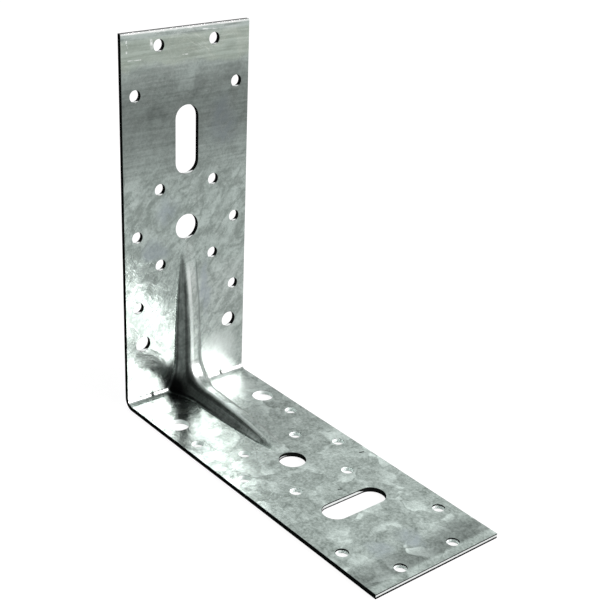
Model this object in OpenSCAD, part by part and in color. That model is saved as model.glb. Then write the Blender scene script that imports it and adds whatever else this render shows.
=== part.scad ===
// A corner brace that joins two timbers at a right angle. It is one strip of galvanised
// sheet, punched for nails, screws and bolts, folded once, and stiffened by a rib that
// is pressed through the bend from outside, so it is hollow behind.
// The foot runs along +X and the upright along +Z, both centred on Y. The origin is
// the outer corner, where the foot's underside and the upright's back would meet.

/* [Sheet] */
// Width of the strip
strip_w = 60; // [52:1:90]
// Length of the foot, from the upright's back
foot_len = 160; // [148:1:240]
// Height of the upright, from the foot's underside
upright_h = 160; // [148:1:240]
// Thickness of the sheet
sheet_t = 2; // [1.5:0.1:3]
// Radius on the inside of the bend
bend_r = 2.5; // [1.5:0.1:5]

/* [Nail holes] */
// Diameter of every nail hole
nail_d = 5; // [4:0.1:6.5]
// Distance of the outer columns of nail holes from the strip's edges
nail_edge = 6; // [5:0.1:8]
// Distance between the two inner columns of nail holes
nail_pitch = 26; // [22:0.5:30]
// Distance of the first outer pair from the outer corner
outer_row = 45.5; // [42:0.5:60]
// Distance of the first inner pair from the outer corner
inner_row = 62.5; // [50:0.5:66]
// Distance of the second inner pair from the outer corner
second_inner_row = 95.5; // [88:0.5:98]
// Distance of the last outer pair from the leg's end
last_row_inset = 24.5; // [12:0.5:28]
// Distance of the end pair from the leg's end
end_row_inset = 6; // [5:0.1:10]

/* [Corner holes] */
// Diameter of the two corner holes in the upright
upright_corner_d = 7; // [5:0.1:9]
// Diameter of the two corner holes in the foot
foot_corner_d = 9; // [5:0.1:9]
// Distance of the corner holes from the strip's edges
corner_edge = 8; // [7:0.1:10]
// Distance of the corner holes from the outer corner
corner_row = 28.5; // [18:0.5:32]

/* [Bolt hole and slot] */
// Diameter of the bolt hole
bolt_d = 11; // [8:0.1:13]
// Distance of the bolt hole, and of the outer pair beside it, from the outer corner
bolt_row = 77; // [74:0.5:82]
// Width of the slot
slot_w = 11; // [8:0.1:13]
// Length of the slot, end to end
slot_len = 29; // [20:0.5:32]
// Distance of the slot's centre from the outer corner
slot_row = 114.5; // [112:0.5:116]

/* [Rib] */
// How far the rib reaches along each leg, from the outer corner
rib_reach = 67; // [50:0.5:69]
// Greatest height of the rib above the inner faces, beside the corner
rib_h = 5.2; // [3:0.1:7]
// Width of the rib's ridge, before its edges are rounded
rib_ridge_w = 5.8; // [5.4:0.1:8]
// Angle between the rib's flanks and the sheet
rib_flank_angle = 57; // [50:1:70]
// Radius of the ridge's edges on the hollow side
rib_edge_r = 0.6; // [0.3:0.1:1]
// Radius of the ridge's sweep through the corner
rib_corner_r = 11; // [8:0.5:16]

/* [Hidden] */
// How far every cut goes past the surface that it breaks
over = 1;
// Outside radius of the bend
bend_out = bend_r + sheet_t;
// Distance of the rib's ridge from the outer faces
ridge = sheet_t + rib_h;
// Place of the axis that the ridge sweeps round in the corner
sweep_c = ridge + rib_corner_r;
// Radius of the arc in which the ridge runs out along a leg, from its greatest height
// to the inner face, to a thousandth so that the pieces of the rib meet exactly
runout = rib_reach - sweep_c;
runout_r = round(500 * (runout * runout + rib_h * rib_h) / rib_h) / 1000;
// Turn of that arc down to the outer face
runout_angle = acos((runout_r - ridge) / runout_r);
// Depth of the rib's section, from the ridge to past the sharp outer corner
section_depth = sweep_c * sqrt(2) - rib_corner_r + over;
// Flat steps in each rounded edge of the rib
edge_steps = 6;
$fn = 64;

// Half a section through the rib, from its axis to one flank: x is the depth below
// the ridge and y runs across. inset 0 gives the outside, inset sheet_t the hollow.
function rib_half(inset) =
    let (
        lean = tan(rib_flank_angle / 2),
        edge_r = rib_edge_r + sheet_t - inset,
        edge_x = rib_edge_r + sheet_t,
        edge_y = rib_ridge_w / 2 - edge_x * lean,
        flank_y = (section_depth - inset) / tan(rib_flank_angle),
        foot_y = rib_ridge_w / 2 - inset * lean + flank_y
    )
    concat(
        [for (i = [0 : edge_steps])
            let (a = rib_flank_angle * i / edge_steps)
            [edge_x - edge_r * cos(a), edge_y + edge_r * sin(a)]],
        [[section_depth, foot_y]]
    );

// The whole section, mirrored about the rib's axis
module rib_section(inset) {
    half = rib_half(inset);
    last = len(half) - 1;
    polygon(concat(half, [for (i = [last : -1 : 0]) [half[i][0], -half[i][1]]]));
}

// Turns a shape drawn for one leg onto the other
module on_other_leg() {
    mirror([1, 0, -1]) children();
}

// Turns a profile drawn in X and Z into a body across Y
module across(width) {
    rotate([90, 0, 0]) linear_extrude(width, center = true) children();
}

// Everything inside the fold, from a given depth below the outer faces
module inside_fold(inset, reach_x, reach_z, width) {
    across(width) {
        translate([bend_out, bend_out]) circle(bend_out - inset);
        translate([inset, bend_out]) square([reach_x - inset, reach_z - bend_out]);
        translate([bend_out, inset]) square([reach_x - bend_out, reach_z - inset]);
    }
}

// The folded strip before it is pressed and punched
module folded_strip() {
    difference() {
        inside_fold(0, foot_len, upright_h, strip_w);
        inside_fold(sheet_t, foot_len + over, upright_h + over, strip_w + 2 * over);
    }
}

// The stretch of the rib on the upright, which sinks into it in a long arc
module rib_runout(inset) {
    translate([ridge - runout_r, 0, sweep_c]) rotate([90, 0, 0])
        rotate_extrude(angle = runout_angle)
            translate([runout_r, 0]) mirror([1, 0]) rib_section(inset);
}

// The sweep of the rib from run-out to run-out, past the outer faces of the sheet
module rib_sweep(inset) {
    rib_runout(inset);
    on_other_leg() rib_runout(inset);
    translate([sweep_c, 0, sweep_c]) rotate([90, 0, 0])
        rotate(180) rotate_extrude(angle = 90)
            translate([rib_corner_r, 0]) rib_section(inset);
}

// The raised side of the rib, rooted halfway into the sheet
module rib_outside() {
    intersection() {
        rib_sweep(0);
        inside_fold(sheet_t / 2, rib_reach + over, rib_reach + over, strip_w);
    }
}

// A punch through the foot at a distance from the outer corner and from the middle
module punch(row, y, d) {
    translate([row, y, -over]) cylinder(h = sheet_t + 2 * over, d = d);
}

// A pair of round holes on either side of the middle
module punch_pair(row, y, d) {
    for (side = [-1, 1])
        punch(row, side * y, d);
}

// A slot with round ends, which runs along the leg or across it
module punch_slot(row, turn) {
    span = slot_len - slot_w;
    translate([row, 0, 0]) rotate(turn) {
        for (end = [-1, 1])
            punch(end * span / 2, 0, slot_w);
        translate([-span / 2, -slot_w / 2, -over])
            cube([span, slot_w, sheet_t + 2 * over]);
    }
}

// Every hole in one leg, drawn for the foot
module leg_holes(leg_len, corner_d, slot_turn) {
    outer_y = strip_w / 2 - nail_edge;
    inner_y = nail_pitch / 2;
    punch_pair(corner_row, strip_w / 2 - corner_edge, corner_d);
    for (row = [outer_row, bolt_row, leg_len - last_row_inset])
        punch_pair(row, outer_y, nail_d);
    for (row = [inner_row, second_inner_row, leg_len - end_row_inset])
        punch_pair(row, inner_y, nail_d);
    punch(bolt_row, 0, bolt_d);
    punch_slot(slot_row, slot_turn);
}

// The finished brace
module bracket() {
    color([0.71, 0.73, 0.73])
    difference() {
        union() {
            folded_strip();
            rib_outside();
        }
        rib_sweep(sheet_t);
        leg_holes(foot_len, foot_corner_d, 90);
        on_other_leg() leg_holes(upright_h, upright_corner_d, 0);
    }
}

bracket();
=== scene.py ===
# %% [markdown]
# A corner brace of galvanised sheet
#
# The real piece is one strip of sheet, punched, pressed and folded. This lesson makes it in the
# same order: a flat blank, its holes, the rib, the fold, the thickness, and then the zinc.
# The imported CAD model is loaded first. It gives the size and place that everything keeps to.

import math

import bmesh
import bpy
from mathutils import Matrix, Vector, noise


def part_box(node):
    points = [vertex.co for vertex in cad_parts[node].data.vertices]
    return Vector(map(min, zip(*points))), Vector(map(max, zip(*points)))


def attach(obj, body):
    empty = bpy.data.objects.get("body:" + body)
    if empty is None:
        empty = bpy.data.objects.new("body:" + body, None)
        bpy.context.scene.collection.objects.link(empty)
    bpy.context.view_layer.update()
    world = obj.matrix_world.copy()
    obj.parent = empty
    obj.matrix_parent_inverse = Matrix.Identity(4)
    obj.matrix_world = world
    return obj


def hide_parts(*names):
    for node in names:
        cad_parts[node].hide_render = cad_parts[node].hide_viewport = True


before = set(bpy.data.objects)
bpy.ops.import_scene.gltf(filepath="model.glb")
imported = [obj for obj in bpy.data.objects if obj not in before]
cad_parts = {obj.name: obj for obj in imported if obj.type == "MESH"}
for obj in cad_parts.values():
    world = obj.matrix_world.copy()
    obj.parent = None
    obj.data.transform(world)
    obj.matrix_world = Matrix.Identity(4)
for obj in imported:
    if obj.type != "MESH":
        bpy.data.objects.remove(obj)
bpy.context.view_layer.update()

# %% [markdown]
# Sizes
#
# Shop drawings of sheet work are in millimetres, so the sizes here are too, and one scale turns
# them into Blender's metres at the end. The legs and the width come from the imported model, so the
# dressed piece can't drift from it. The rest repeats the drawing: sheet, bend, rib and holes.

# %% The sizes of the strip
MM = 0.001
_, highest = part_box("bracket")
leg_len = highest.x / MM
half_w = highest.y / MM
sheet_t = 2.0
bend_r = 2.5
bend_out = bend_r + sheet_t
print(f"legs of {leg_len:.1f} mm, strip {2 * half_w:.1f} mm wide")

# %% [markdown]
# The camera
#
# The photograph was taken with a long lens from the front left, a little above the piece, with a
# slight tilt of the camera. Its place was worked out from the corners and holes of the sheet. The
# camera looks from there at a point near the middle of the fold, and is then rolled about its own
# axis, which keeps the three decisions apart: where it stands, what it looks at, how it is held.

# %% The camera
CAMERA_AT = Vector((0.39806, -0.26807, 0.26414))
LOOKS_AT = Vector((0.05257, 0.02508, 0.05273))
CAMERA_ROLL = math.radians(2.72)
LENS_MM = 71.74
SENSOR_MM = 36.0


def add_camera():
    """Creates the camera at the photograph's viewpoint."""
    data = bpy.data.cameras.new("camera")
    data.lens = LENS_MM
    data.sensor_width = SENSOR_MM
    data.clip_start = 0.01
    camera = bpy.data.objects.new("camera", data)
    bpy.context.scene.collection.objects.link(camera)
    aim = (LOOKS_AT - CAMERA_AT).to_track_quat("-Z", "Y").to_matrix().to_4x4()
    camera.matrix_world = Matrix.Translation(CAMERA_AT) @ aim @ Matrix.Rotation(CAMERA_ROLL, 4, "Z")
    bpy.context.scene.camera = camera
    return camera


camera = add_camera()
print("camera's up axis:", [round(v, 3) for v in camera.matrix_world.to_3x3().col[1]])

# %% [markdown]
# The blank
#
# A press starts from a flat blank. Here it is one grid in the XY plane: X runs along the strip,
# with 0 in the middle of the bend, and Y across it. An even grid fine enough for the rib would be
# wasteful on the plates, so the grid's lines are moved to chosen stations, close together where
# the sheet will be bent or pressed. The stations are the same on both sides of each middle line.

# %% Stations for the lines of the blank
half_arc = bend_r * math.pi / 4
half_len = leg_len - bend_out + half_arc
nick_y = 18.0


def spread(stops):
    """Even stations between stops, where each stop after the first is (end, number of steps)."""
    stations = [stops[0]]
    for end, steps in stops[1:]:
        start = stations[-1]
        stations += [start + (end - start) * (i + 1) / steps for i in range(steps)]
    return stations


def both_sides(half):
    """The stations of one half, mirrored about 0."""
    return [-s for s in reversed(half[1:])] + half


def along(u):
    """Distance along the blank of a row that lies u from the outer corner of the folded piece."""
    return u - bend_out + half_arc


across_lines = both_sides(spread([0.0, (1.5, 2), (11.0, 24), (17.0, 8), (nick_y - 0.6, 1),
                                  (nick_y + 0.6, 6), (half_w, 14)]))
along_lines = both_sides(spread([0.0, (half_arc, 8), (half_arc + 3.0, 6), (along(22.0), 17),
                                 (along(70.0), 50), (half_len, 76)]))
print(f"blank of {len(along_lines)} by {len(across_lines)} lines")


# %% The blank
def cut_blank():
    """A flat grid whose lines lie at the stations."""
    bm = bmesh.new()
    last_x = len(along_lines) - 1
    last_y = len(across_lines) - 1
    bmesh.ops.create_grid(bm, x_segments=last_x, y_segments=last_y, size=0.5)
    for v in bm.verts:
        v.co.x = along_lines[round((v.co.x + 0.5) * last_x)]
        v.co.y = across_lines[round((v.co.y + 0.5) * last_y)]
    return bm


blank = cut_blank()
print(f"blank: {len(blank.faces)} faces")

# %% [markdown]
# The holes
#
# The holes are punched while the strip is flat. For each one, the faces under the punch are
# taken out, which leaves a ragged rectangular opening. Its edge is extruded inwards and the new
# points are set on the outline of the punch. That keeps clean quads around every hole, where a
# Boolean would leave long slivers that spoil the reflections in polished metal.

# %% The layout of the punches
nail_d = 5.0
bolt_d = 11.0
slot_w = 11.0
slot_len = 29.0
corner_row = 28.5
corner_y = 22.0
outer_y = 24.0
inner_y = 13.0
bolt_row = 77.0
slot_row = 114.5
outer_rows = (45.5, bolt_row, leg_len - 24.5)
inner_rows = (62.5, 95.5, leg_len - 6.0)
foot_corner_d = 9.0
upright_corner_d = 7.0


def leg_punches(corner_d, slot_along):
    """Every punch in one leg: (row, y, diameter, half length along, half length across)."""
    half_slot = (slot_len - slot_w) / 2
    slot = (half_slot, 0.0) if slot_along else (0.0, half_slot)
    punches = [(bolt_row, 0.0, bolt_d, 0.0, 0.0), (slot_row, 0.0, slot_w, *slot)]
    for side in (-1, 1):
        punches.append((corner_row, side * corner_y, corner_d, 0.0, 0.0))
        punches += [(row, side * outer_y, nail_d, 0.0, 0.0) for row in outer_rows]
        punches += [(row, side * inner_y, nail_d, 0.0, 0.0) for row in inner_rows]
    return punches


foot_punches = leg_punches(foot_corner_d, slot_along=False)
upright_punches = leg_punches(upright_corner_d, slot_along=True)
print(f"{len(foot_punches)} punches in each leg")

# %% Punch the holes
punch_margin = 1.0


def punch(bm, x, y, diameter, reach_x, reach_y):
    """Takes a round or long hole out of the blank, with its middle at x and y."""
    radius = diameter / 2
    margin = radius + punch_margin
    gone = []
    for f in bm.faces:
        c = f.calc_center_median()
        if abs(c.x - x) < reach_x + margin and abs(c.y - y) < reach_y + margin:
            gone.append(f)
    removed = set(gone)
    rim = [e for e in {e for f in gone for e in f.edges}
           if sum(f in removed for f in e.link_faces) == 1 and len(e.link_faces) == 2]
    bmesh.ops.delete(bm, geom=gone, context="FACES")
    grown = bmesh.ops.extrude_edge_only(bm, edges=rim)["geom"]
    for v in (g for g in grown if isinstance(g, bmesh.types.BMVert)):
        nearest_x = x + max(-reach_x, min(reach_x, v.co.x - x))
        nearest_y = y + max(-reach_y, min(reach_y, v.co.y - y))
        middle = Vector((nearest_x, nearest_y, 0))
        v.co = middle + (v.co - middle).normalized() * radius


for row, y, d, reach_x, reach_y in foot_punches:
    punch(blank, along(row), y, d, reach_x, reach_y)
for row, y, d, reach_x, reach_y in upright_punches:
    punch(blank, -along(row), y, d, reach_x, reach_y)
print(f"punched blank: {len(blank.faces)} faces")

# %% [markdown]
# The rib and the fold
#
# The press then drives the rib through the bend. Its form is a section, flat on top with
# rounded shoulders and steep flanks, that follows a ridge line: a small arc through the
# corner, and on each leg a long arc that sinks slowly into the sheet. Along the foot the
# shoulders are softer, because the sheet flowed more easily there, and the whole rib sits a
# little off the middle. Each point of the blank is lifted off the folded sheet until it meets
# that form. A blended maximum instead of a plain one leaves the soft fillet that sheet metal has
# where a flank meets the plate. Slow noise gives the plates their faint waves, and two small
# nicks show where the tool bit at either side of the bend.

# %% The form of the rib
rib_h = 5.2
rib_reach = 67.0
rib_ridge_w = 5.8
rib_flank = math.radians(57.0)
upright_shoulder_r = 0.6 + sheet_t
foot_shoulder_r = 4.6
softens_from = 2.0
softens_over = 14.0
rib_corner_r = 11.0
rib_fillet = 1.3
rib_off_middle = 0.7
ridge = sheet_t + rib_h
sweep_c = ridge + rib_corner_r
runout_r = ((rib_reach - sweep_c) ** 2 + rib_h ** 2) / (2 * rib_h)


def shoulder_radius(s):
    """Radius of the rib's shoulders, which grow softer from the bend along the foot."""
    share = max(0.0, min(1.0, (s - softens_from) / softens_over))
    return upright_shoulder_r + (foot_shoulder_r - upright_shoulder_r) * share


def section_depth(y, radius):
    """Depth of the rib's section below its ridge, at a distance from its axis."""
    beside = abs(y) - (rib_ridge_w / 2 - radius * math.tan(rib_flank / 2))
    if beside <= 0:
        return 0.0
    turn = radius * math.sin(rib_flank)
    if beside < turn:
        return radius - math.sqrt(radius ** 2 - beside ** 2)
    return radius * (1 - math.cos(rib_flank)) + (beside - turn) * math.tan(rib_flank)


def blended_max(a, b, width):
    """The larger of two values, rounded off where they cross."""
    h = max(0.0, min(1.0, 0.5 + (a - b) / (2 * width)))
    return b + (a - b) * h + width * h * (1 - h)


print(f"ridge {ridge:.1f} mm off the outer faces, its run-outs on a radius of {runout_r:.0f} mm")

# %% Fold and press the blank
nick_depth = 0.5
nick_half_w = 0.36
nick_start = -2.4
nick_start_fade = 1.2
nick_end = 0.6
nick_end_fade = 0.8
wave_height = 0.10
wave_length = 34.0
least_ridge = 0.1


def folded(s):
    """The inner face at s along the foot: its point, the way off it, and the ridge's height."""
    if s < half_arc:
        turn = math.radians(225) + s / bend_r
        point = Vector((bend_out + bend_r * math.cos(turn), bend_out + bend_r * math.sin(turn)))
    else:
        point = Vector((bend_out + s - half_arc, sheet_t))
    if point.x >= sweep_c:
        fall = runout_r - math.sqrt(max(0.0, runout_r ** 2 - (point.x - sweep_c) ** 2))
        return point, Vector((0, 1)), rib_h - fall
    to_axis = Vector((sweep_c, sweep_c)) - point
    return point, to_axis.normalized(), to_axis.length - rib_corner_r


def nick(s, y):
    """Depth of the press tool's small marks, which run from the bend a little way up the upright."""
    off = (abs(y) - nick_y) / nick_half_w
    start = min(1.0, max(0.0, (s - nick_start) / nick_start_fade))
    end = min(1.0, max(0.0, (nick_end - s) / nick_end_fade))
    return nick_depth * math.exp(-off * off) * start * end


def press(bm):
    """Lifts the rib and folds the blank, and notes on each point where it lies on the rib."""
    on_rib = bm.verts.layers.float_vector.new("on_rib")
    for v in bm.verts:
        s, y = v.co.x, v.co.y
        point, way, ridge_up = folded(abs(s))
        depth = section_depth(y - rib_off_middle, shoulder_radius(s))
        lift = blended_max(ridge_up - depth, 0.0, rib_fillet)
        share = min(1.0, lift / max(least_ridge, ridge_up))
        v[on_rib] = Vector((share if y < rib_off_middle else 2 - share, max(0.0, ridge_up), s))
        lift += wave_height * noise.noise(Vector((s, y, 0)) / wave_length) - nick(s, y)
        x, z = point + way * lift
        v.co = Vector((x, y, z) if s >= 0 else (z, y, x)) * MM


press(blank)
print("folded to", [round(max(v.co[axis] for v in blank.verts) / MM, 1) for axis in range(3)], "mm")

# %% [markdown]
# Thickness and edges
#
# The mesh so far is the inner skin alone. Solidify gives it the sheet's thickness outwards, and
# puts the cut faces of the rim in a material slot of their own, because a cut shows bare steel
# and not zinc. A punch and a shear never leave a razor edge, so a small Bevel rounds the rim.

# %% The sheet as a piece
edge_round = 0.22
edge_steps = 3
sharpest_smooth = math.radians(55)


def make_sheet(bm):
    """Turns the pressed skin into the piece that stands for the CAD node."""
    bmesh.ops.recalc_face_normals(bm, faces=bm.faces)
    on_foot = next(f for f in bm.faces if f.calc_center_median().x > (leg_len - 5.0) * MM)
    if on_foot.normal.z < 0:
        bmesh.ops.reverse_faces(bm, faces=bm.faces)
    mesh = bpy.data.meshes.new("brace_sheet")
    bm.to_mesh(mesh)
    bm.free()
    mesh.shade_smooth()
    piece = bpy.data.objects.new("brace_sheet", mesh)
    bpy.context.scene.collection.objects.link(piece)
    thick = piece.modifiers.new("thickness", "SOLIDIFY")
    thick.thickness = sheet_t * MM
    thick.offset = -1.0
    thick.use_even_offset = True
    thick.material_offset_rim = 1
    rounding = piece.modifiers.new("rounded edges", "BEVEL")
    rounding.width = edge_round * MM
    rounding.segments = edge_steps
    rounding.profile = 0.5
    rounding.material = -1
    rounding.limit_method = "ANGLE"
    rounding.angle_limit = sharpest_smooth
    rounding.harden_normals = True
    return piece


def finished_triangles(piece):
    """How many triangles a piece has once its modifiers have run."""
    finished = piece.evaluated_get(bpy.context.evaluated_depsgraph_get())
    return sum(len(face.vertices) - 2 for face in finished.data.polygons)


sheet = make_sheet(blank)
print(f"sheet: {len(sheet.data.polygons)} faces, {finished_triangles(sheet)} triangles when finished")

# %% [markdown]
# Short calls for shader nodes
#
# A finish is built from many small nodes: noise, arithmetic, blends. Written out one by one they
# hide the idea, so this class wraps a material's node tree and gives each kind of node a short
# call. An input may be a number or the output of another node, and the call links or fills it.
# The calls work in the sheet's own millimetres, which keeps every mark readable as a place on it.

# %% Helpers for materials
class Shading:
    """The nodes of a material or a world, with short calls for the kinds that are used here."""

    def __init__(self, owner):
        owner.use_nodes = True
        self.owner = owner
        self.tree = owner.node_tree
        self.tree.nodes.clear()

    def node(self, kind, inputs=(), **settings):
        """Adds a node, sets its properties, and fills or links the inputs that are named."""
        made = self.tree.nodes.new(kind)
        for key, value in settings.items():
            setattr(made, key, value)
        for key, value in dict(inputs).items():
            if isinstance(value, bpy.types.NodeSocket):
                self.tree.links.new(value, made.inputs[key])
            else:
                made.inputs[key].default_value = value
        return made

    def math(self, operation, a, b=0.0, c=0.0, clamp=False):
        """One step of arithmetic."""
        made = self.node("ShaderNodeMath", {0: a, 1: b, 2: c}, operation=operation, use_clamp=clamp)
        return made.outputs[0]

    def times(self, first, *others):
        """Several values multiplied."""
        for other in others:
            first = self.math("MULTIPLY", first, other)
        return first

    def largest(self, first, *others):
        """The largest of several values."""
        for other in others:
            first = self.math("MAXIMUM", first, other)
        return first

    def rest_of(self, share):
        """What a share leaves of 1."""
        return self.math("SUBTRACT", 1.0, share)

    def swing(self, ripple, share, onto):
        """Adds to a value a share of how far a noise lies from its middle of 0.5."""
        return self.math("MULTIPLY_ADD", self.math("SUBTRACT", ripple, 0.5), share, onto)

    def remap(self, value, low, high, to_low=0.0, to_high=1.0):
        """Moves a value softly from one range to another, and holds it at the ends."""
        made = self.node("ShaderNodeMapRange", {0: value, 1: low, 2: high, 3: to_low, 4: to_high},
                         interpolation_type="SMOOTHSTEP")
        return made.outputs[0]

    def band(self, value, rise, fall):
        """1 between two soft borders and 0 outside them, where a border is (start, end)."""
        return self.times(self.remap(value, *rise), self.remap(value, *fall, 1.0, 0.0))

    def between(self, share, a, b):
        """A value that goes from a to b as the share goes from 0 to 1."""
        return self.node("ShaderNodeMix", {0: share, 2: a, 3: b}, data_type="FLOAT").outputs[0]

    def mix(self, share, a, b, clamp=True):
        """A colour that goes from a to b as the share goes from 0 to 1, or past them unclamped."""
        made = self.node("ShaderNodeMix", {0: share, 6: a, 7: b}, data_type="RGBA", clamp_factor=clamp)
        return made.outputs[2]

    def scaled(self, colour, factor):
        """A colour made lighter or darker."""
        return self.node("ShaderNodeVectorMath", {0: colour, "Scale": factor}, operation="SCALE").outputs[0]

    def vector(self, operation, a, b=(0.0, 0.0, 0.0), out=0):
        """One step of arithmetic on points."""
        return self.node("ShaderNodeVectorMath", {0: a, 1: b}, operation=operation).outputs[out]

    def axes(self, point):
        """The three coordinates of a point."""
        return self.node("ShaderNodeSeparateXYZ", {0: point}).outputs

    def millimetres(self):
        """The point on the piece, in millimetres, and its three coordinates."""
        place = self.node("ShaderNodeTexCoord").outputs["Object"]
        point = self.vector("DIVIDE", place, (MM, MM, MM))
        return point, *self.axes(point)

    def noise(self, point, grain, detail=2.0, roughness=0.5, distortion=0.0):
        """Soft noise round 0.5, whose features are about the grain's size."""
        return self.node("ShaderNodeTexNoise", {
            "Vector": point, "Scale": 1.0 / grain, "Detail": detail,
            "Roughness": roughness, "Distortion": distortion}).outputs[0]

    def drift(self, point, grain, detail, reach):
        """A point moved by soft noise, up to half the reach to either side along each axis."""
        made = self.node("ShaderNodeTexNoise", {"Vector": point, "Scale": 1.0 / grain, "Detail": detail})
        shift = self.vector("SUBTRACT", made.outputs[1], (0.5, 0.5, 0.5))
        return self.vector("ADD", point, self.vector("MULTIPLY", shift, (reach,) * 3))

    def spot(self, point, middle, reach):
        """1 in the middle of a soft patch, 0 beyond its reach, with a reach for each axis."""
        away = self.vector("DIVIDE", self.vector("SUBTRACT", point, middle), reach)
        return self.remap(self.vector("LENGTH", away, out=1), 0.25, 1.0, 1.0, 0.0)

    def spots(self, point, patches):
        """1 in any of several soft patches."""
        return self.largest(*(self.spot(point, middle, reach) for middle, reach in patches))

    def scratch(self, point, start, end, half_width):
        """1 on a straight mark between two places, 0 beside it."""
        start, way = Vector(start), Vector(end) - Vector(start)
        from_start = self.vector("SUBTRACT", point, start)
        share = self.vector("DOT_PRODUCT", from_start, way / way.length_squared, out=1)
        share = self.math("ADD", share, 0.0, clamp=True)
        nearest = self.node("ShaderNodeVectorMath", {0: tuple(way), "Scale": share}, operation="SCALE")
        gap = self.vector("DISTANCE", from_start, nearest.outputs[0], out=1)
        return self.remap(gap, 0.4 * half_width, half_width, 1.0, 0.0)

    def scratches(self, point, marks):
        """1 on any of several straight marks."""
        return self.largest(*(self.scratch(point, *mark) for mark in marks))

    def bump(self, inputs):
        """A surface direction tilted by a height."""
        return self.node("ShaderNodeBump", inputs).outputs[0]

    def surface(self, inputs):
        """Ends a material with its shader."""
        shader = self.node("ShaderNodeBsdfPrincipled", inputs)
        self.node("ShaderNodeOutputMaterial", {"Surface": shader.outputs[0]})


# %% [markdown]
# The crystals of the zinc
#
# Hot-dip zinc is a bright metal that froze in leaf-shaped crystals. Each is a shade lighter or
# darker, because each mirrors the room at its own angle. Pictures of such sheet could be tiled
# over the surface, but they repeat and stretch. Here a Voronoi texture gives every crystal a cell
# of its own. The point is bent by noise before it is looked up, so that the borders of the cells
# curl like leaves, and each cell fades along a direction of its own from light to dark. On Object
# coordinates the pattern sits still on the metal.

# %% The crystals
leaf_size = 11.0
leaf_curl = 1.35
leaf_softness = 0.22


def crystals(s, point):
    """Overlapping leaf shapes, round 0: each one fades from a light side to a dark side."""
    bent = s.drift(point, leaf_size / 1.1, 2.0, leaf_curl * leaf_size)
    cells = s.node("ShaderNodeTexVoronoi", {
        "Vector": bent, "Scale": 1.0 / leaf_size, "Smoothness": leaf_softness}, feature="SMOOTH_F1")
    from_heart = s.vector("SUBTRACT", bent, cells.outputs["Position"])
    fade_way = s.vector("SUBTRACT", cells.outputs["Color"], (0.5, 0.5, 0.5))
    return s.math("DIVIDE", s.vector("DOT_PRODUCT", from_heart, fade_way, out=1), leaf_size)


print(f"crystals of about {leaf_size:.0f} mm")

# %% [markdown]
# The layers over the crystals
#
# Crystals alone look like a map. Real zinc also has broad swirls, slanting feathers and fine
# specks, thin dark veins where two crystals met, and straight lines from the rolls across the
# strip. Each layer is a noise with its own grain. It is added with one strength for the lower
# upright, one for the upper upright and one for the foot, because on this piece the upper
# upright shows mostly roll lines and the foot mostly crystals.

# %% The tone of the zinc
swirl_grain = 15.0
vein_grain = 10.0
vein_half_width = 0.04
feather_grain = 3.2
speck_grain = 1.1
line_grain = 1.2
slant_axis = (1.0, 0.4, 0.0)
slant_angle = 0.75
slant_stretch = (1.0, 1.0, 0.36)
across_stretch = (1.0, 0.05, 1.0)
darkest_leaf = -0.05
upper_upright = (88.0, 112.0)
swirl_shares = (0.5, 0.5, 0.4)
leaf_shares = (0.36, 0.10, 1.5)
vein_shares = (-0.11, -0.04, -0.11)
feather_shares = (0.6, 0.2, 0.6)
speck_shares = (0.5, 0.35, 1.0)
line_shares = (0.15, 0.38, 0.1)
line_share_at_top = 0.7


def zinc_tone(s, point, z, on_foot):
    """How light the zinc is, round 0.5, and the swirls and roll lines that are in it."""
    swirls = s.noise(point, swirl_grain, detail=3.0, roughness=0.55, distortion=1.7)
    leaves = s.math("MAXIMUM", crystals(s, point), darkest_leaf)
    slanted = s.node("ShaderNodeVectorRotate", {"Vector": point, "Axis": slant_axis, "Angle": slant_angle},
                     rotation_type="AXIS_ANGLE").outputs[0]
    slanted = s.vector("MULTIPLY", slanted, slant_stretch)
    veins = s.noise(slanted, vein_grain, distortion=0.9)
    from_vein = s.math("ABSOLUTE", s.math("SUBTRACT", veins, 0.5))
    veins = s.remap(from_vein, 0.0, vein_half_width, 1.0, 0.0)
    feathers = s.noise(slanted, feather_grain, detail=3.0, roughness=0.6, distortion=0.7)
    specks = s.noise(point, speck_grain, detail=3.0, roughness=0.7)
    lines = s.noise(s.vector("MULTIPLY", point, across_stretch), line_grain, roughness=0.6)

    high = s.remap(z, *upper_upright)

    def share(low_upright, high_upright, foot):
        """The strength of a layer on each part of the piece."""
        return s.between(on_foot, s.between(high, low_upright, high_upright), foot)

    tone = s.swing(swirls, share(*swirl_shares), 0.5)
    tone = s.math("MULTIPLY_ADD", leaves, share(*leaf_shares), tone)
    tone = s.math("MULTIPLY_ADD", veins, share(*vein_shares), tone)
    tone = s.swing(feathers, share(*feather_shares), tone)
    tone = s.swing(specks, share(*speck_shares), tone)
    near_top = s.remap(z, 144.0, 150.0)
    lines_share = s.math("MULTIPLY_ADD", near_top, line_share_at_top, share(*line_shares))
    return s.swing(lines, lines_share, tone), swirls, lines


print(f"crystals count {leaf_shares[2] / leaf_shares[1]:.0f} times as much on the foot as up high")

# %% [markdown]
# The rib's painted shade and highlight
#
# The tool slid along the rib as it pressed and left streaks on its left flank. Over them the
# finish paints shade: dark lines at the root and the shoulder of that flank, and a dark patch
# near the rib's tips. It also paints a highlight, a bright strip at the left of the ridge. Such
# marks follow the rib and not the axes. The press cell noted on every point its share of the way
# over the rib, the height of the ridge beside it and its distance from the bend. That attribute
# goes through the modifiers, and the material reads it as if the rib were rolled out flat.

# %% The rib's painted shade and highlight
# Colour of the painted highlight at the left of the ridge.
RIDGE_HIGHLIGHT = (0.54, 0.60, 0.575, 1)
# Painted shade at the root, shoulder and tips of the left flank, and the tool's streaks, darken by this.
shade_and_streak_darkening = -0.6
root_shade_band = ((0.04, 0.10), (0.14, 0.28))
shoulder_shade_band = ((0.62, 0.76), (0.84, 0.95))
flank_band = ((0.05, 0.15), (0.85, 0.95))
tip_shade_band = ((0.15, 0.5), (0.55, 0.9))
ridge_highlight_band = ((-1.7, -1.1), (-0.1, 0.5))
streaks_over, streaks_along = 9.0, 0.05


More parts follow.
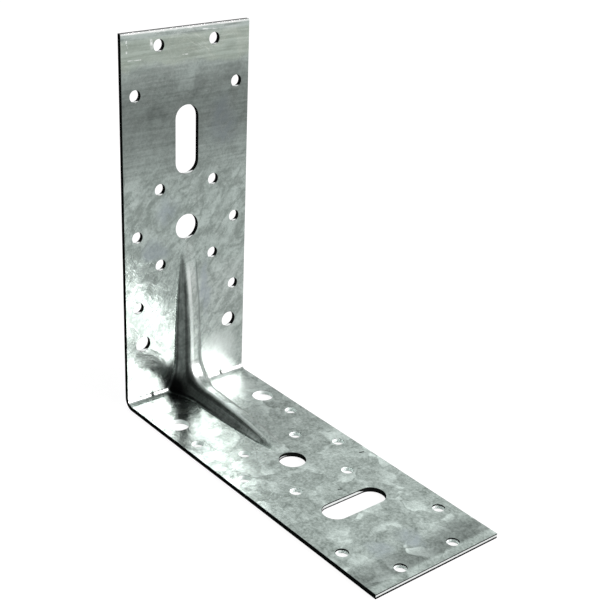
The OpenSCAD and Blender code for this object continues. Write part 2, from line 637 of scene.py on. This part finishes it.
def place_on_rib(s):
    """The share over the rib, the ridge's height and the way along it, as the press noted them."""
    return s.axes(s.node("ShaderNodeAttribute", attribute_name="on_rib").outputs["Vector"])


def shade_and_streaks(s):
    """1 on the painted shade at the root, the shoulder and the tips of the left flank, and on the tool's
    streaks.
    """
    over, ridge_up, along_rib = place_on_rib(s)
    # Painted shade: dark lines along the root crease and the shoulder of the left flank.
    root_shade_line = s.band(over, *root_shade_band)
    shoulder_shade_line = s.band(over, *shoulder_shade_band)
    rolled_out = s.node("ShaderNodeCombineXYZ", {
        0: s.times(over, streaks_over), 1: s.times(along_rib, streaks_along)})
    streaks = s.remap(s.noise(rolled_out.outputs[0], 1.0), 0.35, 0.65, 0.0, 0.35)
    drawn = s.largest(root_shade_line, shoulder_shade_line, s.times(s.band(over, *flank_band), streaks))
    # Painted shade: a dark patch on the flank near the rib's tips.
    near_tip = s.times(s.remap(ridge_up, 0.3, 1.2), s.remap(ridge_up, 1.8, 3.2, 0.55, 0.0))
    tip = s.times(s.band(over, *tip_shade_band), near_tip)
    return s.largest(s.times(drawn, s.remap(ridge_up, 1.0, 3.2)), tip)


def rib_shade_and_highlight(s, colour, y):
    """Paints shade on the flank's lines and tips and darkens its streaks, and paints a highlight left of
    the ridge.
    """
    colour = s.scaled(colour, s.math("MULTIPLY_ADD", shade_and_streaks(s), shade_and_streak_darkening, 1.0))
    # Painted highlight: a bright strip at the left of the ridge.
    _, ridge_up, _ = place_on_rib(s)
    rising = s.remap(ridge_up, 0.6, 2.2, 0.0, 0.6)
    highest_part = s.remap(ridge_up, 3.0, 4.8, 1.0, 0.75)
    return s.mix(s.times(s.band(y, *ridge_highlight_band), rising, highest_part), colour, RIDGE_HIGHLIGHT)


# These lines are painted shade at the root and shoulder, with the tool's streaks.
print(f"the drawn lines keep {1 + shade_and_streak_darkening:.0%} of the zinc's light")

# %% [markdown]
# The history of this piece, with painted light
#
# No sheet is the same all over. This one has patches with a blue cast and patches that dulled,
# pale scratches near the top from handling, and dark nicks beside the rib where the tool bit.
# Beside the bend two painted highlights stand for the two legs reflecting each other, and
# painted shade darkens the corner at the root of the rib. A mark could be painted on a picture,
# but here each one is a place and a reach, or a start and an end, in millimetres, so it can be
# checked with a ruler on the real piece.

# %% Where the zinc is marked, and where light and shade are painted
BLUE_PATCHES = (
    ((2, 17, 121), (9, 11, 15)),
    ((2, -9, 86), (9, 6, 8)),
    ((2, -14, 70), (9, 7, 6)),
    ((2, 10, 47), (9, 3.5, 17)),
    ((142, -12, 2), (9, 7, 9)),
    ((142, 3, 2), (8, 7, 9)),
)
DULL_PATCHES = (
    ((2, -14, 126), (9, 8, 5)),
    ((2, 5, 138), (9, 6, 9)),
    ((2, 1, 150), (9, 6, 3)),
    ((2, 20, 152), (9, 4, 2)),
    ((2, 23, 142), (9, 8, 9)),
    ((2, -17, 57), (9, 5, 5)),
)
# Painted highlights beside the bend, where the two legs reflect each other.
HIGHLIGHT_PATCHES = (
    ((13, 18, 2), (15, 14, 9)),
    ((2, 18, 13), (9, 14, 15)),
)
PALE_SCRATCHES = (
    ((2, 7.4, 158.3), (2, 14.1, 157.9), 0.35),
    ((2, -27.5, 157.2), (2, -27.6, 156.4), 0.4),
    ((2, -27.4, 155.6), (2, -27.0, 154.4), 0.25),
    ((2, -27.5, 153.0), (2, -27.5, 152.6), 0.45),
    ((2, -16.6, 156.2), (2, -16.5, 153.2), 0.75),
    ((2, -26.9, 149.6), (2, -21.0, 149.3), 0.22),
    ((2, -2.0, 149.3), (2, 0.2, 149.2), 0.2),
    ((117.6, 3.6, 2), (119.0, 4.6, 2), 0.3),
)
DARK_SCRATCHES = (
    ((2, -nick_y, 4.0), (2, -nick_y, 6.0), 0.27),
    ((2, nick_y, 4.0), (2, nick_y, 6.0), 0.27),
    ((3.0, -nick_y, 3.5), (2.8, -nick_y + 1.1, 3.7), 0.34),
    ((3.0, nick_y, 3.5), (2.8, nick_y + 1.1, 3.7), 0.34),
    ((104.0, 1.0, 2), (104.6, 2.6, 2), 0.35),
    ((88.6, 25.6, 2), (89.0, 27.2, 2), 0.5),
)
# Painted shade in the deep corner at the root of the rib.
RIB_ROOT_SHADE = ((5, -7.5, 5), (12, 5, 9))
print(len(PALE_SCRATCHES) + len(DARK_SCRATCHES), "scratches and nicks on the zinc")

# %% Stretches that are brighter or duller
low_light, dull_light, top_light = 0.90, 0.46, 0.84
dulls_over = (88.0, 124.0)
clears_over = (132.0, 152.0)
near_light, far_light = 0.80, 1.14
brightens_over = (30.0, 95.0)
end_band = ((143.0, 152.0), (155.5, 157.0))
end_band_share = -0.46
patch_dullness = 0.76


def brightness(s, x, loose, on_foot):
    """How bright the zinc is from place to place, as a factor on its colour."""
    loose_x, _, loose_z = s.axes(loose)
    upright = s.largest(s.remap(loose_z, *dulls_over, low_light, dull_light),
                        s.remap(loose_z, *clears_over, dull_light, top_light))
    foot = s.remap(loose_x, *brightens_over, near_light, far_light)
    in_band = s.times(s.remap(loose_x, *end_band[0]), s.remap(x, *end_band[1], 1.0, 0.0))
    foot = s.math("MULTIPLY_ADD", in_band, end_band_share, foot)
    dull = s.remap(s.spots(loose, DULL_PATCHES), 0.0, 1.0, 1.0, patch_dullness)
    return s.times(s.between(on_foot, upright, foot), dull)


print(f"dull patches keep {patch_dullness:.0%} of their light")

# %% [markdown]
# The galvanised finish
#
# The finish puts the layers on top of one another in this order: the frozen zinc, its casts and
# dull stretches, the band where the sheet was clamped, the painted highlights beside the bend,
# the painted shade, tool streaks and painted highlight on the rib, and last the scratches, the
# painted highlight on the top edge and the painted shade at the rib's root. The patches are
# looked up at a wandering point, so that none has a drawn border. The plates keep the shine of
# the rolls, and the rib is a little rougher and smoother in shape, because there the zinc was
# stretched.

# %% The colour of the finish
DARK_ZINC = (0.24, 0.283, 0.262, 1)
LIGHT_ZINC = (0.47, 0.54, 0.51, 1)
BLUE_CAST = (0.31, 0.36, 0.385, 1)
GREEN_CAST = (0.33, 0.385, 0.32, 1)
PAINTED_HIGHLIGHT = (0.60, 0.67, 0.64, 1)
# Bright bare metal for the scratches, also the colour of the painted highlight on the top edge.
BRIGHT_METAL_AND_HIGHLIGHT = (0.80, 0.84, 0.82, 1)
NEARLY_BLACK = (0.02, 0.022, 0.022, 1)
wander_grain = 14.0
scratch_wander = 0.08
upright_tones = (0.28, 0.74)
foot_middle_tone, foot_contrast = 0.53, 2.1
least_blue, most_blue = 0.2, 0.7
clamp_band = ((145.5, 148.5), (156.5, 158.0))
clamp_share = 0.5
highlight_share = 0.6
# How dark the painted shade at the rib's root is.
root_shade_share = 0.97


def zinc_colour(s, tone, swirls, x, z, on_foot, loose):
    """The plates' colour: zinc light and dark, its casts, stretches and painted highlights by the bend."""
    upright_share = s.remap(tone, *upright_tones)
    off_tone = s.math("SUBTRACT", tone, foot_middle_tone)
    foot_share = s.math("MULTIPLY_ADD", off_tone, foot_contrast, 0.5)
    share = s.between(on_foot, upright_share, foot_share)
    colour = s.mix(share, DARK_ZINC, LIGHT_ZINC, clamp=False)
    blue = s.times(s.spots(loose, BLUE_PATCHES), s.remap(swirls, 0.35, 0.6, least_blue, most_blue))
    colour = s.mix(blue, colour, BLUE_CAST)
    colour = s.scaled(colour, brightness(s, x, loose, on_foot))
    _, _, loose_z = s.axes(loose)
    clamped = s.times(s.remap(loose_z, *clamp_band[0]), s.remap(z, *clamp_band[1], 1.0, 0.0))
    colour = s.mix(s.times(clamped, clamp_share), colour, GREEN_CAST)
    # Painted highlight beside the bend, mixed over the zinc.
    return s.mix(s.times(s.spots(loose, HIGHLIGHT_PATCHES), highlight_share), colour, PAINTED_HIGHLIGHT)


def marks_shade_and_highlights(s, colour, point, z):
    """Adds pale scratches, dark nicks, a painted highlight on the top edge and painted shade at the rib's
    root.
    """
    shaky = s.drift(point, wander_grain, 3.0, scratch_wander * wander_grain)
    patchy = s.remap(s.noise(point, 1.5), 0.35, 0.6, 0.15, 0.8)
    pale = s.times(s.scratches(shaky, PALE_SCRATCHES), patchy)
    # Painted highlight: a bright line along the upright's top edge.
    top_edge_highlight = s.remap(z, leg_len - 0.9, leg_len - 0.5, 0.0, 0.8)
    colour = s.mix(s.largest(pale, top_edge_highlight), colour, BRIGHT_METAL_AND_HIGHLIGHT)
    # Painted shade, nearly black, at the root of the rib.
    root = s.times(s.spot(point, *RIB_ROOT_SHADE), root_shade_share)
    return s.mix(s.largest(s.scratches(point, DARK_SCRATCHES), root), colour, NEARLY_BLACK)


print(f"patches wander over {wander_grain:.0f} mm")


# %% The galvanised finish
def zinc_gloss(s, swirls, lines):
    """The roughness and the bump of the zinc, which the press changed on the rib."""
    over, ridge_up, _ = place_on_rib(s)
    on_rib = s.times(s.remap(over, 0.0, 0.6), s.remap(ridge_up, 1.0, 3.0))
    rough = s.between(on_rib, s.remap(swirls, 0.3, 0.7, 0.30, 0.19), 0.38)
    flatter = s.between(on_rib, 0.5, 0.2)
    broad = s.bump({"Strength": flatter, "Distance": 0.5 * MM, "Height": swirls})
    fine = s.bump({"Strength": 0.15, "Distance": 0.1 * MM, "Height": lines, "Normal": broad})
    return rough, fine


def galvanised():
    """Bright zinc with curling crystals, roll lines, patches, light wear, and painted highlights and shade.
    """
    s = Shading(bpy.data.materials.new("galvanised_sheet"))
    point, x, y, z = s.millimetres()
    on_foot = s.remap(s.math("SUBTRACT", x, z), -4.0, 4.0)
    loose = s.drift(point, wander_grain, 3.0, wander_grain)
    tone, swirls, lines = zinc_tone(s, point, z, on_foot)
    colour = zinc_colour(s, tone, swirls, x, z, on_foot, loose)
    colour = rib_shade_and_highlight(s, colour, y)
    colour = marks_shade_and_highlights(s, colour, point, z)
    rough, normal = zinc_gloss(s, swirls, lines)
    s.surface({"Base Color": colour, "Metallic": 1.0, "Roughness": rough, "Normal": normal})
    return s.owner


sheet.data.materials.append(galvanised())
print("finish of the faces:", sheet.data.materials[0].name)

# %% [markdown]
# The cut edges
#
# A punch or a shear cuts the first part of the sheet's thickness and tears the rest. The cut part
# is burnished bright and the torn part is nearly black, with a dark line where the zinc was
# dragged over the corner. The depth in the sheet is the smaller of X and Z, for both legs, so one
# ramp on it gives every edge its bands, and only their widths differ from edge to edge. Every edge
# that faces -Y takes the nearly black torn band over its whole thickness, which is painted shade
# on the side turned from the light. In the foot's nail holes the wall is matt and pale instead.

# %% Where a cut edge lies
at_end = (leg_len - 2.0, leg_len - 0.5)
inside_strip = (half_w - 1.5, half_w - 1.0)
outer_nails = (16.0, 17.0)
inner_nails = (9.5, 10.0)
beside_slot = (6.0, 7.0)


def place_on_cut(s, x, y, z):
    """Shares that tell the foot, its nail holes, its end, the upright's top and all holes apart."""
    off_middle = s.math("ABSOLUTE", y)
    from_slot = s.math("ABSOLUTE", s.math("SUBTRACT", s.largest(x, z), slot_row))
    on_foot = s.math("GREATER_THAN", x, z)
    beside_middle = s.times(s.remap(off_middle, *inner_nails), s.remap(from_slot, *beside_slot))
    at_nail = s.largest(beside_middle, s.remap(off_middle, *outer_nails))
    at_foot_end = s.remap(x, *at_end)
    at_top = s.remap(z, *at_end)
    in_strip = s.remap(off_middle, *inside_strip, 1.0, 0.0)
    in_hole = s.times(in_strip, s.rest_of(s.largest(at_foot_end, at_top)))
    return on_foot, at_nail, at_foot_end, at_top, in_hole


print(f"a cut edge counts as an end from {at_end[0]:.0f} mm on")

# %% The bands of a cut edge
foot_end_tear, foot_end_corner = 0.78, 1.54
top_tear, top_corner = 0.85, 2.3
middle_tear, nail_tear = 0.6, 0.05
upright_corner = 1.75
# Extra depth of the dark torn band that paints shade on edges facing -Y.
shaded_side_tear = 2.5


def bright_band(s, depth, x, y, place):
    """1 in the burnished band, between the tear below it and the drawn corner above it."""
    on_foot, at_nail, at_foot_end, at_top, in_hole = place
    foot_middle = s.times(on_foot, s.rest_of(at_nail))
    bolt_corner = s.remap(y, -5.0, 4.0, 1.25, 0.5)
    slot_corner = s.remap(y, 6.0, 11.0, 1.55, 0.4)
    middle_corner = s.between(s.remap(x, 88.0, 96.0), bolt_corner, slot_corner)
    nail_corner = s.between(on_foot, upright_corner, s.remap(x, 120.0, 130.0, 1.9, 1.3))
    corner = s.between(at_foot_end, s.between(foot_middle, nail_corner, middle_corner), foot_end_corner)
    corner = s.between(at_top, corner, top_corner)
    tear = s.between(at_foot_end, s.between(foot_middle, nail_tear, middle_tear), foot_end_tear)
    tear = s.between(at_top, tear, top_tear)
    # Painted shade: edges that face -Y, except the foot's nail holes, take the dark torn colour all
    # through.
    _, facing_y, _ = s.axes(s.node("ShaderNodeNewGeometry").outputs["Normal"])
    clean_nail = s.times(on_foot, at_nail, in_hole)
    shaded_side = s.times(s.remap(facing_y, -0.8, -0.25, 1.0, 0.0), s.rest_of(clean_nail))
    tear = s.math("MULTIPLY_ADD", shaded_side, shaded_side_tear, tear)
    above_tear = s.remap(s.math("SUBTRACT", depth, tear), -0.1, 0.1)
    below_corner = s.remap(s.math("SUBTRACT", depth, corner), -0.06, 0.06, 1.0, 0.0)
    return s.times(above_tear, below_corner)


print(f"tear at the foot's end {foot_end_tear} mm deep, at the top {top_tear} mm")

# %% The finish of the cut edges
TORN_DARK = (0.006, 0.007, 0.0065, 1)
TORN_PALE = (0.016, 0.018, 0.017, 1)
BURNISHED = (0.90, 0.93, 0.92, 1)
MATT_WALL = (0.81, 0.93, 0.885, 1)
DIM_AT_GRAZING = (0.2, 0.2, 0.2, 1)
ragged = 0.3


def cut_steel():
    """Bare steel with a burnished band between a torn band and a drawn corner."""
    s = Shading(bpy.data.materials.new("cut_edge"))
    point, x, y, z = s.millimetres()
    grain = s.noise(point, 1.0, detail=3.0, roughness=0.6)
    depth = s.swing(grain, ragged, s.math("MINIMUM", x, z))
    place = place_on_cut(s, x, y, z)
    on_foot, at_nail, _, _, in_hole = place
    bright = bright_band(s, depth, x, y, place)
    matt_part = s.between(on_foot, s.remap(depth, 0.3, 0.7, 1.0, 0.0), at_nail)
    matt = s.times(matt_part, in_hole, bright)
    colour = s.mix(bright, s.mix(grain, TORN_DARK, TORN_PALE), s.mix(matt, BURNISHED, MATT_WALL))
    s.surface({
        "Base Color": colour, "Metallic": s.between(matt, 1.0, 0.3),
        "Roughness": s.between(bright, 0.45, 0.22), "Specular Tint": DIM_AT_GRAZING,
        "Normal": s.bump({"Strength": 0.2, "Distance": 0.1 * MM, "Height": grain})})
    return s.owner


sheet.data.materials.append(cut_steel())
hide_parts("bracket")
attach(sheet, "root")
print("finish of the cut edges:", sheet.data.materials[1].name)

# %% [markdown]
# The table
#
# The brace stands on a white table. A real one right under the sheet could light the metal too,
# but it would fill the punched holes with its own light. So this table is white to the eye and
# plain paper to soft light, and takes no part in sharp reflections. The lower half of the world
# stands for it there.

# %% The table
paper_white = (0.8, 0.8, 0.8, 1)
shadow_part = (0.13, 0.13, 0.13, 1)
glow_part = 0.93
table_half = 20.0
table_below = 0.2


def table_white():
    """Nearly white to the camera, with a little real light in it that carries the shadow."""
    s = Shading(bpy.data.materials.new("white_table"))
    path = s.node("ShaderNodeLightPath").outputs
    seen = s.largest(path["Is Camera Ray"], path["Is Transmission Ray"])
    paper = s.node("ShaderNodeBsdfDiffuse", {"Color": paper_white}).outputs[0]
    lit = s.node("ShaderNodeBsdfDiffuse", {"Color": shadow_part}).outputs[0]
    glow = s.node("ShaderNodeEmission", {"Color": (1, 1, 1, 1), "Strength": glow_part}).outputs[0]
    white = s.node("ShaderNodeAddShader", {0: lit, 1: glow}).outputs[0]
    both = s.node("ShaderNodeMixShader", {0: seen, 1: paper, 2: white}).outputs[0]
    s.node("ShaderNodeOutputMaterial", {"Surface": both})
    return s.owner


def add_table():
    """A broad flat floor just under the brace."""
    bm = bmesh.new()
    bmesh.ops.create_grid(bm, x_segments=1, y_segments=1, size=table_half)
    mesh = bpy.data.meshes.new("table")
    bm.to_mesh(mesh)
    bm.free()
    table = bpy.data.objects.new("table", mesh)
    table.location.z = -table_below * MM
    table.visible_glossy = False
    table.data.materials.append(table_white())
    bpy.context.scene.collection.objects.link(table)
    return table


table = add_table()
print(f"table: {len(table.data.vertices)} corners, finish {table.data.materials[0].name}")

# %% [markdown]
# The room
#
# Polished metal shows the room more than its own colour, so the room is part of the picture. The
# world plays it by direction. At the right everything is white. At the left the table is dimmer,
# though not at the back, and the wall is nearly dark, which gives the rib its dark flank. A pale
# ceiling towards the back lights the shoulder of the rib, and a faint strip low in front keeps
# the foot from turning black when the brace is seen from behind. To the camera itself the world
# is plain white.

# %% The world
dim_wall, dark_wall = 0.26, 0.02
back_table, dim_table = 0.85, 0.46
low_strip = 0.35


def light_world():
    """White to the eye; for light and reflections, pale on the right and dim on the left."""
    s = Shading(bpy.data.worlds.new("studio"))
    towards_x, towards_y, towards_z = s.axes(s.node("ShaderNodeTexCoord").outputs["Generated"])
    left_wall = s.remap(towards_x, -0.70, 0.0, dim_wall, dark_wall)
    low_front = s.times(s.remap(towards_x, 0.3, 0.6), s.remap(towards_z, 0.22, 0.34, low_strip, 0.0))
    left_table = s.remap(towards_x, -0.55, -0.15, back_table, dim_table)
    left = s.between(s.remap(towards_z, -0.12, 0.08), left_table, s.largest(left_wall, low_front))
    sides = s.between(s.remap(towards_y, -0.55, 0.35), left, 1.0)
    ceiling = s.times(s.remap(towards_z, 0.38, 0.62), s.remap(towards_x, -0.55, -0.15, 1.0, 0.0))
    camera_ray = s.node("ShaderNodeLightPath").outputs["Is Camera Ray"]
    strength = s.largest(sides, ceiling, camera_ray)
    sky = s.node("ShaderNodeBackground", {"Color": (1, 1, 1, 1), "Strength": strength}).outputs[0]
    s.node("ShaderNodeOutputWorld", {"Surface": sky})
    bpy.context.scene.world = s.owner
    return s.owner


world = light_world()
print("world:", world.name, "with", len(world.node_tree.nodes), "nodes")

# %% [markdown]
# The soft light
#
# One broad soft light stands at the right front, where the two plates of the corner throw it back
# at the camera together, as two white panels beside the rib. Light that reaches the eye over two
# plates takes the green of the zinc twice. The lamp's slight rose tint cancels that, so the white
# panels come out white. Several lamps would put several bright patches on the plates, and the
# photograph has one.

# %% The soft light
ROSE = (1.0, 0.84, 0.895)


def add_soft_light(name, azimuth, elevation, distance, size, power):
    """An area light that faces the corner from a direction, azimuth from +X towards +Y."""
    data = bpy.data.lights.new(name, "AREA")
    data.shape = "RECTANGLE"
    data.size, data.size_y = size
    data.energy = power
    data.color = ROSE
    light = bpy.data.objects.new(name, data)
    az, el = math.radians(azimuth), math.radians(elevation)
    towards = Vector((math.cos(az) * math.cos(el), math.sin(az) * math.cos(el), math.sin(el)))
    light.location = distance * towards
    light.rotation_euler = (-light.location).to_track_quat("-Z", "Y").to_euler()
    bpy.context.scene.collection.objects.link(light)
    return light


key = add_soft_light("soft light", azimuth=36.0, elevation=27.0, distance=1.6, size=(0.9, 0.8), power=45.0)
print("key light at", [round(v, 2) for v in key.location])

# %% [markdown]
# Render settings
#
# The view transform is Standard, so that a colour comes out as it was written.

# %% Finish
bpy.context.scene.view_settings.view_transform = "Standard"
